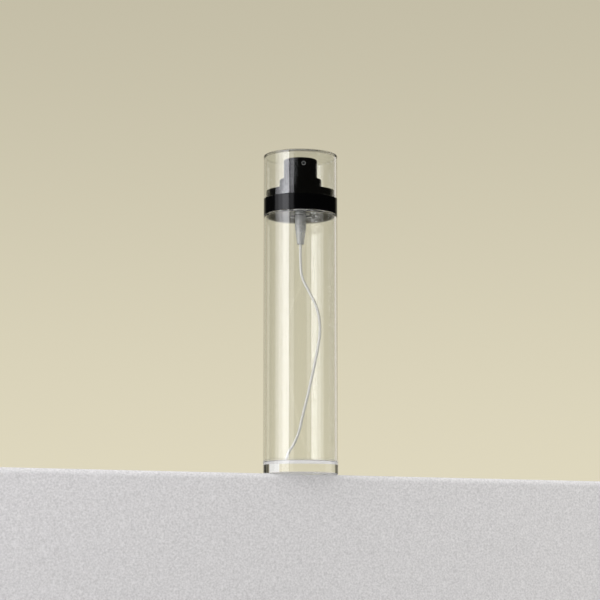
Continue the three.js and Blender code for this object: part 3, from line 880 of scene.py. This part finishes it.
# The insert is dark grey. Its mouth and orifice are painted near black, a painted shade for the
# deep recess that the lamps do not reach.
RIM_TONE = (0.34, 0.34, 0.34)
MOUTH_PAINTED_SHADE = (0.008, 0.008, 0.008)
PAINTED_SHADE_FADE_START = 0.84 * MM
PAINTED_SHADE_FADE_END = 0.9 * MM
dark = moulded(
    "Dark grey polypropylene",
    RIM_TONE,
    grain=1200,
    drift=150,
    polish=0.28,
    dull=0.4,
    depth=0.002,
)
dark_tree = dark.node_tree
spot = dark_tree.nodes.new("ShaderNodeTexCoord")
across = dark_tree.nodes.new("ShaderNodeVectorMath")
across.operation = "MULTIPLY_ADD"
across.inputs[1].default_value = (1, 0, 1)
across.inputs[2].default_value = (0, 0, -NOZZLE_HEIGHT * MM)
outward = dark_tree.nodes.new("ShaderNodeVectorMath")
outward.operation = "LENGTH"
# The insert's grey mixed with the painted shade of its mouth, by distance from the nozzle's axis.
insert_colour_and_painted_shade = dark_tree.nodes.new("ShaderNodeMix")
insert_colour_and_painted_shade.data_type = "RGBA"
insert_colour_and_painted_shade.inputs["A"].default_value = (*MOUTH_PAINTED_SHADE, 1)
insert_colour_and_painted_shade.inputs["B"].default_value = (*RIM_TONE, 1)
dark_tree.links.new(spot.outputs["Object"], across.inputs[0])
dark_tree.links.new(across.outputs["Vector"], outward.inputs[0])
painted_shade_fade = ranged(dark_tree, outward.outputs["Value"], PAINTED_SHADE_FADE_START, PAINTED_SHADE_FADE_END, 0, 1)
dark_tree.links.new(painted_shade_fade.outputs["Result"], insert_colour_and_painted_shade.inputs["Factor"])
dark_shader = dark_tree.nodes["Principled BSDF"]
dark_tree.links.new(insert_colour_and_painted_shade.outputs["Result"], dark_shader.inputs["Base Color"])
dressed(nozzle, dark, "button", "nozzle_insert")

# Overcap. A clear polished styrene cup with a flat top, which slides over the collar's
# ring and rests on its band. Seen from below, its top plate is all but invisible.
CAP_BORE = 18.85
CAP_FOOT = 149.45
CAP_CEILING = 172.4
CAP_TOP = 173.6
overcap = turned(
    "overcap_cup",
    [
        (0, CAP_CEILING, 0),
        (CAP_BORE, CAP_CEILING, 0.3),
        (CAP_BORE, CAP_FOOT, 0.05),
        (BODY_RADIUS, CAP_FOOT, 0.05),
        (BODY_RADIUS, CAP_TOP, 0.4),
        (0, CAP_TOP, 0),
    ],
    BODY_ROUND,
)
clear_cap = clear_moulded("Clear cap", (0.985, 0.99, 0.98), ior=1.54, dull=0.01, depth=0.0005)
cap_tree = clear_cap.node_tree


def worked_out(tree, operation, *values):
    """A sum in a node tree, from fixed numbers and the values of other nodes."""
    node = tree.nodes.new("ShaderNodeMath")
    node.operation = operation
    for socket, value in zip(node.inputs, values):
        if isinstance(value, (int, float)):
            socket.default_value = value
        else:
            tree.links.new(value, socket)
    return node.outputs["Value"]


def cap_sum(operation, *values):
    """A sum in the cap's own material."""
    return worked_out(cap_tree, operation, *values)


PLATE_MARK = 172.3 * MM
PLATE_CLEARNESS = 0.93
NONE_YET = 0.5
ONCE_AT_MOST = 1.5
cap_place = cap_tree.nodes.new("ShaderNodeTexCoord")
cap_parts = cap_tree.nodes.new("ShaderNodeSeparateXYZ")
cap_tree.links.new(cap_place.outputs["Object"], cap_parts.inputs["Vector"])
walls_passed = cap_tree.nodes["Light Path"].outputs["Transmission Depth"]
on_plate = cap_sum("GREATER_THAN", cap_parts.outputs["Z"], PLATE_MARK)
from_within = cap_sum("GREATER_THAN", walls_passed, ONCE_AT_MOST)
in_the_air = cap_sum("LESS_THAN", cap_sum("MODULO", walls_passed, 2), NONE_YET)
from_below = cap_sum("MULTIPLY", from_within, in_the_air)
seen_through = cap_sum("MULTIPLY", from_below, PLATE_CLEARNESS)
cap_choice = cap_tree.nodes["Mix Shader"]
plain_way = cap_choice.inputs["Fac"].links[0].from_socket
clear_way = cap_sum("MAXIMUM", cap_sum("MULTIPLY", on_plate, seen_through), plain_way)
cap_tree.links.new(clear_way, cap_choice.inputs["Fac"])
dressed(overcap, clear_cap, "overcap", "overcap")

# Slab. A block of pale speckled stone that the bottle stands on, near a rounded front
# edge that runs slightly askew. It belongs to the set and not to the object.
SLAB_TURN = math.radians(8.4)
SLAB_SIZE = (0.6, 0.35, 0.6)
SLAB_EDGE = 0.010
SLAB_ROUND = 0.0035
SLAB_ROUND_STEPS = 8
bpy.ops.object.select_all(action="DESELECT")
bpy.ops.mesh.primitive_cube_add(size=1)
slab = bpy.context.object
slab.name = "slab"
slab.scale = SLAB_SIZE
slab.location = (0, SLAB_SIZE[1] / 2 - SLAB_EDGE, -SLAB_SIZE[2] / 2)
bpy.ops.object.transform_apply(location=True, rotation=True, scale=True)
bpy.ops.object.mode_set(mode="EDIT")
bpy.ops.mesh.select_mode(type="EDGE")
cube = bmesh.from_edit_mesh(slab.data)
for edge in cube.edges:
    edge.select = all(v.co.z > -SLAB_ROUND and v.co.y < 0 for v in edge.verts)
bmesh.update_edit_mesh(slab.data)
bpy.ops.mesh.bevel(
    offset_type="OFFSET", offset=SLAB_ROUND, segments=SLAB_ROUND_STEPS, affect="EDGES"
)
bpy.ops.object.mode_set(mode="OBJECT")
bpy.ops.object.shade_smooth_by_angle(angle=SMOOTH_ANGLE)
slab.rotation_euler = (0, 0, SLAB_TURN)
bpy.ops.object.transform_apply(location=True, rotation=True, scale=True)
STONE_DARK = (0.445, 0.435, 0.434)
STONE_PALE = (0.92, 0.9, 0.898)
SPECKLE_SCALE = 1000
SPECKLE_DETAIL = 2
# The stone's colour is painted darker towards its left end and lighter to its right: a painted
# shade that evens out the lamps, which light the left end more.
PAINTED_SHADE_SPAN = 0.16
PAINTED_SHADE_LEFT = 0.78
PAINTED_LIGHT_RIGHT = 1.04
stone = moulded(
    "Pale stone", STONE_PALE, grain=500, drift=900, polish=0.7, dull=0.9, depth=0.12
)
stone_tree = stone.node_tree
stone_place = stone_tree.nodes.new("ShaderNodeTexCoord")
speckle = stone_tree.nodes.new("ShaderNodeTexNoise")
speckle.inputs["Scale"].default_value = SPECKLE_SCALE
speckle.inputs["Detail"].default_value = SPECKLE_DETAIL
tones = stone_tree.nodes.new("ShaderNodeMix")
tones.data_type = "RGBA"
tones.inputs["A"].default_value = (*STONE_DARK, 1)
tones.inputs["B"].default_value = (*STONE_PALE, 1)
stone_parts = stone_tree.nodes.new("ShaderNodeSeparateXYZ")
stone_and_painted_shade = stone_tree.nodes.new("ShaderNodeVectorMath")
stone_and_painted_shade.operation = "SCALE"
stone_tree.links.new(stone_place.outputs["Object"], speckle.inputs["Vector"])
stone_tree.links.new(speckle.outputs["Fac"], tones.inputs["Factor"])
stone_tree.links.new(stone_place.outputs["Object"], stone_parts.inputs["Vector"])
painted_shade_sideways = ranged(
    stone_tree, stone_parts.outputs["X"], -PAINTED_SHADE_SPAN, PAINTED_SHADE_SPAN, PAINTED_SHADE_LEFT, PAINTED_LIGHT_RIGHT
)
stone_tree.links.new(tones.outputs["Result"], stone_and_painted_shade.inputs[0])
stone_tree.links.new(painted_shade_sideways.outputs["Result"], stone_and_painted_shade.inputs["Scale"])
stone_shader = stone_tree.nodes["Principled BSDF"]
stone_tree.links.new(stone_and_painted_shade.outputs["Vector"], stone_shader.inputs["Base Color"])
slab.data.materials.append(stone)

# Backdrop. A plain warm wall that fades upwards, and a plain fill from all round. Dark
# flags beside the bottle and a pale card on its right, seen only in the clear walls,
# draw their edges as in a studio, and the lamps are mirrored inside them.
VIEW_AZIMUTH = math.radians(-11)
FLAG_AZIMUTH = VIEW_AZIMUTH + math.radians(6.5)
AHEAD = (-math.sin(VIEW_AZIMUTH), math.cos(VIEW_AZIMUTH), 0)
TO_THE_RIGHT = (math.cos(VIEW_AZIMUTH), math.sin(VIEW_AZIMUTH), 0)
FLAG_AXIS = (-math.sin(FLAG_AZIMUTH), math.cos(FLAG_AZIMUTH), 0)
BACKDROP = (0.70, 0.65, 0.49, 1)
FILL = (0.72, 0.72, 0.71, 1)
CARD = (0.88, 0.87, 0.85, 1)
EDGE_CARD = (0.97, 0.91, 0.83, 1)
studio = bpy.data.worlds.new("Studio")
scene.world = studio
studio.use_nodes = True
air = studio.node_tree
air.nodes.clear()
direction = air.nodes.new("ShaderNodeTexCoord")
path = air.nodes.new("ShaderNodeLightPath")
wire = air.links.new


def light_sum(operation, *values):
    """A sum on the light's direction or path."""
    return worked_out(air, operation, *values)


def eased(value, low, high, start, end):
    """A soft step of a value from one number to another."""
    node = ranged(air, value, low, high, start, end)
    node.interpolation_type = "SMOOTHSTEP"
    return node.outputs["Result"]


def window(value, opening, closing, height=1):
    """A soft-edged band of a value, between the limits where it opens and where it closes."""
    return light_sum("MULTIPLY", eased(value, *opening, 0, height), eased(value, *closing, 1, 0))


def glow(colour, strength=1):
    """One colour of light from all round, at a strength that may hang on the direction."""
    node = air.nodes.new("ShaderNodeBackground")
    node.inputs["Color"].default_value = colour
    if isinstance(strength, (int, float)):
        node.inputs["Strength"].default_value = strength
    else:
        wire(strength, node.inputs["Strength"])
    return node.outputs["Background"]


def chosen(share, first, second):
    """One of two lights."""
    node = air.nodes.new("ShaderNodeMixShader")
    wire(share, node.inputs["Fac"])
    wire(first, node.inputs[1])
    wire(second, node.inputs[2])
    return node.outputs["Shader"]


def along(axis):
    """How far the light's direction goes along an axis."""
    node = air.nodes.new("ShaderNodeVectorMath")
    node.operation = "DOT_PRODUCT"
    node.inputs[1].default_value = axis
    wire(direction.outputs["Generated"], node.inputs[0])
    return node.outputs["Value"]


ahead = along(AHEAD)
sideways = along(TO_THE_RIGHT)
parts = air.nodes.new("ShaderNodeSeparateXYZ")
wire(direction.outputs["Generated"], parts.inputs["Vector"])
upward = parts.outputs["Z"]

# Each soft step has its start and end, and the value before and after it.
WALL_FADE = (0, 0.36, 1.08, 0.76)
STRIP_TOP = (-0.17, -0.06, 0.2, 1)
STRIP_FOOT = (-0.206, -0.195, 1, 0)
NARROW_VIEW = (0.7, 0.98, 0.01, 0.8)
WIDE_VIEW = (0.3, 0.6, 0.05, 1)
TWICE_AT_MOST = 2.5
KEPT_BY_MIRROR = 0.8
fall = eased(upward, *WALL_FADE)
strip = light_sum("MAXIMUM", eased(upward, *STRIP_TOP), eased(upward, *STRIP_FOOT))
above = light_sum("MULTIPLY", fall, strip)
in_front = eased(ahead, *NARROW_VIEW)
mirrored = glow(BACKDROP, light_sum("MULTIPLY", in_front, above))
all_round = eased(ahead, *WIDE_VIEW)
deep = light_sum("GREATER_THAN", path.outputs["Transmission Depth"], TWICE_AT_MOST)
narrower = light_sum("MULTIPLY", deep, light_sum("SUBTRACT", in_front, all_round))
more_mirrors = light_sum("SUBTRACT", path.outputs["Glossy Depth"], 1)
faded = light_sum("POWER", KEPT_BY_MIRROR, more_mirrors)
spread = light_sum("MULTIPLY", faded, light_sum("ADD", all_round, narrower))
turned_back = glow(BACKDROP, light_sum("MULTIPLY", spread, above))

FLAG_OPENING = (0.12, 0.2)
FLAG_CLOSING = (0.55, 0.65)
FLAG_SHADE = 0.94
SLIT_OPENING = (0.44, 0.48)
SLIT_CLOSING = (0.52, 0.55)
SLIT_LIGHT = 0.24
fore_and_aft = light_sum("ABSOLUTE", along(FLAG_AXIS))
flags = window(fore_and_aft, FLAG_OPENING, FLAG_CLOSING)
slit = window(fore_and_aft, SLIT_OPENING, SLIT_CLOSING, SLIT_LIGHT)
open_part = light_sum("MULTIPLY_ADD", flags, -FLAG_SHADE, light_sum("ADD", 1, slit))
refracted = glow(BACKDROP, light_sum("MULTIPLY", fall, open_part))

CARD_LEFT = (0.40, 0.43)
CARD_RIGHT = (0.69, 0.72)
CARD_FOOT = (-0.02, 0)
CARD_HEAD = (0.221, 0.227)
card_width = window(sideways, CARD_LEFT, CARD_RIGHT)
card_height = window(upward, CARD_FOOT, CARD_HEAD)
card_side = light_sum("MULTIPLY", card_height, light_sum("GREATER_THAN", ahead, 0))
card = light_sum("MULTIPLY", card_width, card_side)
refracted = chosen(card, refracted, glow(CARD))
mirrored_once = light_sum("LESS_THAN", path.outputs["Glossy Depth"], ONCE_AT_MOST)
edge_card = light_sum("MULTIPLY", card, mirrored_once)
turned_back = chosen(edge_card, turned_back, glow(EDGE_CARD))

# Each softbox has its name, its swing to the left in degrees, its width and its power.
LAMP_DISTANCE = 0.6
LAMP_HEIGHT = 0.22
LAMP_TALL = 0.7
LAMP_TINT = (1.0, 1.0, 1.05)
SOFTBOXES = (
    ("softbox_key", 46.5, 0.222, 2.3),
    ("softbox_middle", 64.2, 0.153, 0.95),
    ("softbox_side", 78, 0.142, 0.45),
    ("softbox_front", 27, 0.126, 0.3),
)
MID_HEIGHT = 0.09
to_the_left = light_sum("MULTIPLY", sideways, -1)
behind = light_sum("MULTIPLY", ahead, -1)
round_left = light_sum("ARCTAN2", to_the_left, behind)
lamp_glow = 0
for _, swing, width, power in SOFTBOXES:
    off_middle = light_sum("ABSOLUTE", light_sum("SUBTRACT", round_left, math.radians(swing)))
    in_lamp = light_sum("LESS_THAN", off_middle, math.atan(width / 2 / LAMP_DISTANCE))
    radiance = power / (math.pi * width * LAMP_TALL)
    lamp_glow = light_sum("MULTIPLY_ADD", in_lamp, radiance, lamp_glow)
lamp_foot = math.sin(math.atan((LAMP_HEIGHT - LAMP_TALL / 2 - MID_HEIGHT) / LAMP_DISTANCE))
lamp_head = math.sin(math.atan((LAMP_HEIGHT + LAMP_TALL / 2 - MID_HEIGHT) / LAMP_DISTANCE))
over_foot = light_sum("GREATER_THAN", upward, lamp_foot)
under_head = light_sum("LESS_THAN", upward, lamp_head)
lamp_glow = light_sum("MULTIPLY", lamp_glow, light_sum("MULTIPLY", over_foot, under_head))
both = air.nodes.new("ShaderNodeAddShader")
wire(turned_back, both.inputs[0])
wire(glow((*LAMP_TINT, 1), lamp_glow), both.inputs[1])
turned_back = both.outputs["Shader"]

unmirrored = light_sum("LESS_THAN", path.outputs["Glossy Depth"], NONE_YET)
through = light_sum("MULTIPLY", path.outputs["Is Transmission Ray"], unmirrored)
lit = chosen(path.outputs["Is Glossy Ray"], glow(FILL), mirrored)
lit = chosen(path.outputs["Is Transmission Ray"], lit, turned_back)
lit = chosen(through, lit, refracted)
lit = chosen(path.outputs["Is Camera Ray"], lit, glow(BACKDROP, fall))
sky = air.nodes.new("ShaderNodeOutputWorld")
wire(lit, sky.inputs["Surface"])

# Softboxes. A row of tall soft lamps on the left, turned to the bottle, which lay the
# long lights on its clear walls and on the black pump, and one overhead for the slab.
OVERHEAD_PLACE = (-0.1, 0.1, 0.9)
OVERHEAD_SIZE = 0.5
OVERHEAD_POWER = 3.4


def softbox(name, swing, width, power):
    """A tall soft lamp at an angle to the left of the camera, turned to the bottle."""
    angle = VIEW_AZIMUTH - math.radians(swing)
    place = Vector((math.sin(angle), -math.cos(angle), 0)) * LAMP_DISTANCE
    place.z = LAMP_HEIGHT
    bpy.ops.object.light_add(type="AREA", location=place)
    lamp = named(bpy.context.object, name)
    lamp.data.shape = "RECTANGLE"
    lamp.data.size = width
    lamp.data.size_y = LAMP_TALL
    lamp.data.energy = power
    lamp.data.color = LAMP_TINT
    aim = Vector((0, 0, LAMP_HEIGHT)) - place
    lamp.rotation_euler = aim.to_track_quat("-Z", "Y").to_euler()
    lamp.visible_camera = False
    lamp.visible_transmission = False


for name, swing, width, power in SOFTBOXES:
    softbox(name, swing, width, power)
bpy.ops.object.light_add(type="AREA", location=OVERHEAD_PLACE)
overhead = named(bpy.context.object, "softbox_overhead")
overhead.data.size = OVERHEAD_SIZE
overhead.data.energy = OVERHEAD_POWER
overhead.visible_camera = False
overhead.visible_glossy = False
overhead.visible_transmission = False

# Camera. A long lens set low in front of the slab, which looks slightly up at the bottle
# from a little to its left. Light is followed through all the clear walls.
LENS = 125.1
SENSOR = 36
CAMERA_DISTANCE = 1.1129
CAMERA_HEIGHT = -0.0743
CAMERA_PITCH = math.radians(8.62)
CAMERA_YAW = VIEW_AZIMUTH + math.radians(0.014)
CLEAR_BOUNCES = 32
MIRROR_BOUNCES = 16
bpy.ops.object.camera_add(
    location=(
        math.sin(VIEW_AZIMUTH) * CAMERA_DISTANCE,
        -math.cos(VIEW_AZIMUTH) * CAMERA_DISTANCE,
        CAMERA_HEIGHT,
    ),
    rotation=(FULL_TURN / 4 + CAMERA_PITCH, 0, CAMERA_YAW),
)
camera = bpy.context.object
camera.data.lens = LENS
camera.data.sensor_width = SENSOR
scene.camera = camera
scene.view_settings.view_transform = "Standard"
scene.cycles.max_bounces = CLEAR_BOUNCES
scene.cycles.glossy_bounces = MIRROR_BOUNCES
scene.cycles.transmission_bounces = CLEAR_BOUNCES
